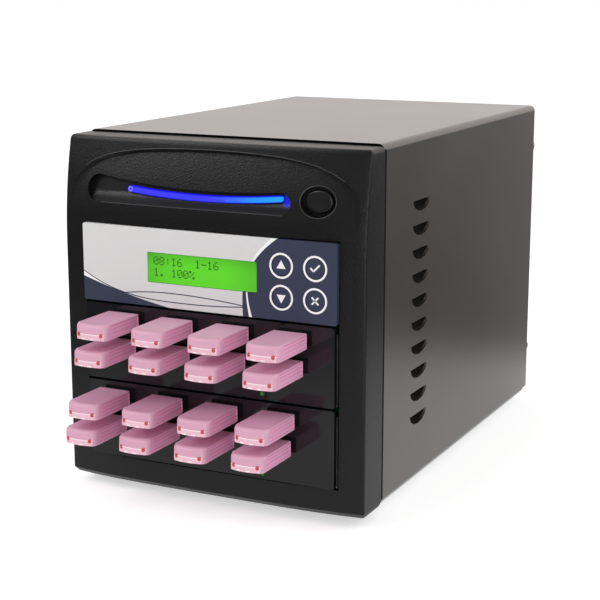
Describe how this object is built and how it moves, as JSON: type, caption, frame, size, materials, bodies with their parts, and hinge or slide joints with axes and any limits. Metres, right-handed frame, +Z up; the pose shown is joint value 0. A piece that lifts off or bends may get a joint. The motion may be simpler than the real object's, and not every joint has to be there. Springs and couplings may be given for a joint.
{
  "type": "usb flash drive duplicator",
  "caption": "Desktop tower that copies USB flash drives, with rows of drives plugged into its front, a display, keys and a power button.",
  "frame": {"origin": "middle of the bounding box of all nodes, on the surface that the feet stand on", "axes": "+X to the viewer's right, +Y from the drives at the front to the back, +Z up"},
  "size_m": [0.1754, 0.3154, 0.1927],
  "materials": {
    "cover_paint": "satin brown-black paint on sheet steel",
    "steel_sheet": "plain zinc-plated sheet steel",
    "black_moulding": "black injection moulding, fine grain",
    "button_moulding": "smooth black moulding",
    "blue_light_guide": "clear light guide lit in blue",
    "circuit_board": "green circuit board",
    "printed_overlay": "printed light grey and navy overlay",
    "lcd_glass": "green lit display window",
    "gloss_black_panel": "glossy black plastic",
    "green_lamp": "lit green lamp",
    "rubber": "black rubber",
    "pink_drive": "smooth pink plastic",
    "navy_key": "printed navy key"
  },
  "bodies": {
    "case": {"case_cover": "cover_paint", "base_pan": "steel_sheet", "front_frame": "steel_sheet", "bay_rail_left": "steel_sheet", "bay_rail_right": "steel_sheet", "rear_panel": "steel_sheet", "bay_tray_control": "steel_sheet", "bay_tray_upper": "steel_sheet", "bay_tray_lower": "steel_sheet", "lcd_module": "steel_sheet", "power_supply": "steel_sheet", "fan_guard": "steel_sheet", "front_bezel": "black_moulding", "led_light_bar": "blue_light_guide", "front_board": "circuit_board", "control_board": "circuit_board", "usb_board_upper": "circuit_board", "usb_board_lower": "circuit_board", "control_fascia": "printed_overlay", "lcd_window": "lcd_glass", "usb_panel_upper": "gloss_black_panel", "usb_panel_lower": "gloss_black_panel", "activity_lamp_upper": "green_lamp", "activity_lamp_lower": "green_lamp", "power_inlet": "black_moulding", "rocker_housing": "black_moulding", "fan_frame": "black_moulding", "thumb_screw_1": "steel_sheet", "foot_1": "rubber", "thumb_screw_2": "steel_sheet", "foot_2": "rubber", "thumb_screw_3": "steel_sheet", "foot_3": "rubber", "thumb_screw_4": "steel_sheet", "foot_4": "rubber"},
    "flash_drive_1": {"flash_drive_1": "pink_drive"},
    "flash_drive_2": {"flash_drive_2": "pink_drive"},
    "flash_drive_3": {"flash_drive_3": "pink_drive"},
    "flash_drive_4": {"flash_drive_4": "pink_drive"},
    "flash_drive_5": {"flash_drive_5": "pink_drive"},
    "flash_drive_6": {"flash_drive_6": "pink_drive"},
    "flash_drive_7": {"flash_drive_7": "pink_drive"},
    "flash_drive_8": {"flash_drive_8": "pink_drive"},
    "flash_drive_9": {"flash_drive_9": "pink_drive"},
    "flash_drive_10": {"flash_drive_10": "pink_drive"},
    "flash_drive_11": {"flash_drive_11": "pink_drive"},
    "flash_drive_12": {"flash_drive_12": "pink_drive"},
    "flash_drive_13": {"flash_drive_13": "pink_drive"},
    "flash_drive_14": {"flash_drive_14": "pink_drive"},
    "flash_drive_15": {"flash_drive_15": "pink_drive"},
    "flash_drive_16": {"flash_drive_16": "pink_drive"},
    "power_button": {"power_button": "button_moulding"},
    "key_up": {"key_up": "navy_key"},
    "key_enter": {"key_enter": "navy_key"},
    "key_down": {"key_down": "navy_key"},
    "key_escape": {"key_escape": "navy_key"},
    "fan_rotor": {"fan_rotor": "black_moulding"},
    "power_rocker": {"power_rocker": "button_moulding"}
  },
  "joints": [
    {"name": "flash_drive_1_pull", "type": "slide", "parent": "case", "child": "flash_drive_1", "axis": [0, -1, 0], "range_m": [0, 0.016]},
    {"name": "flash_drive_2_pull", "type": "slide", "parent": "case", "child": "flash_drive_2", "axis": [0, -1, 0], "range_m": [0, 0.016]},
    {"name": "flash_drive_3_pull", "type": "slide", "parent": "case", "child": "flash_drive_3", "axis": [0, -1, 0], "range_m": [0, 0.016]},
    {"name": "flash_drive_4_pull", "type": "slide", "parent": "case", "child": "flash_drive_4", "axis": [0, -1, 0], "range_m": [0, 0.016]},
    {"name": "flash_drive_5_pull", "type": "slide", "parent": "case", "child": "flash_drive_5", "axis": [0, -1, 0], "range_m": [0, 0.016]},
    {"name": "flash_drive_6_pull", "type": "slide", "parent": "case", "child": "flash_drive_6", "axis": [0, -1, 0], "range_m": [0, 0.016]},
    {"name": "flash_drive_7_pull", "type": "slide", "parent": "case", "child": "flash_drive_7", "axis": [0, -1, 0], "range_m": [0, 0.016]},
    {"name": "flash_drive_8_pull", "type": "slide", "parent": "case", "child": "flash_drive_8", "axis": [0, -1, 0], "range_m": [0, 0.016]},
    {"name": "flash_drive_9_pull", "type": "slide", "parent": "case", "child": "flash_drive_9", "axis": [0, -1, 0], "range_m": [0, 0.016]},
    {"name": "flash_drive_10_pull", "type": "slide", "parent": "case", "child": "flash_drive_10", "axis": [0, -1, 0], "range_m": [0, 0.016]},
    {"name": "flash_drive_11_pull", "type": "slide", "parent": "case", "child": "flash_drive_11", "axis": [0, -1, 0], "range_m": [0, 0.016]},
    {"name": "flash_drive_12_pull", "type": "slide", "parent": "case", "child": "flash_drive_12", "axis": [0, -1, 0], "range_m": [0, 0.016]},
    {"name": "flash_drive_13_pull", "type": "slide", "parent": "case", "child": "flash_drive_13", "axis": [0, -1, 0], "range_m": [0, 0.016]},
    {"name": "flash_drive_14_pull", "type": "slide", "parent": "case", "child": "flash_drive_14", "axis": [0, -1, 0], "range_m": [0, 0.016]},
    {"name": "flash_drive_15_pull", "type": "slide", "parent": "case", "child": "flash_drive_15", "axis": [0, -1, 0], "range_m": [0, 0.016]},
    {"name": "flash_drive_16_pull", "type": "slide", "parent": "case", "child": "flash_drive_16", "axis": [0, -1, 0], "range_m": [0, 0.016]},
    {"name": "power_button_press", "type": "slide", "parent": "case", "child": "power_button", "axis": [0, 1, 0], "range_m": [0, 0.0015], "stiffness_N_per_m": 600},
    {"name": "key_up_press", "type": "slide", "parent": "case", "child": "key_up", "axis": [0, 1, 0], "range_m": [0, 0.0005], "stiffness_N_per_m": 1500},
    {"name": "key_enter_press", "type": "slide", "parent": "case", "child": "key_enter", "axis": [0, 1, 0], "range_m": [0, 0.0005], "stiffness_N_per_m": 1500},
    {"name": "key_down_press", "type": "slide", "parent": "case", "child": "key_down", "axis": [0, 1, 0], "range_m": [0, 0.0005], "stiffness_N_per_m": 1500},
    {"name": "key_escape_press", "type": "slide", "parent": "case", "child": "key_escape", "axis": [0, 1, 0], "range_m": [0, 0.0005], "stiffness_N_per_m": 1500},
    {"name": "fan_spin", "type": "hinge", "parent": "case", "child": "fan_rotor", "pos_m": [0, 0.1378, 0.109], "axis": [0, 1, 0], "continuous": true},
    {"name": "power_rocker_tilt", "type": "hinge", "parent": "case", "child": "power_rocker", "pos_m": [0.00404, 0.1505, 0.02705], "axis": [1, 0, 0], "range_deg": [0, 18]}
  ]
}
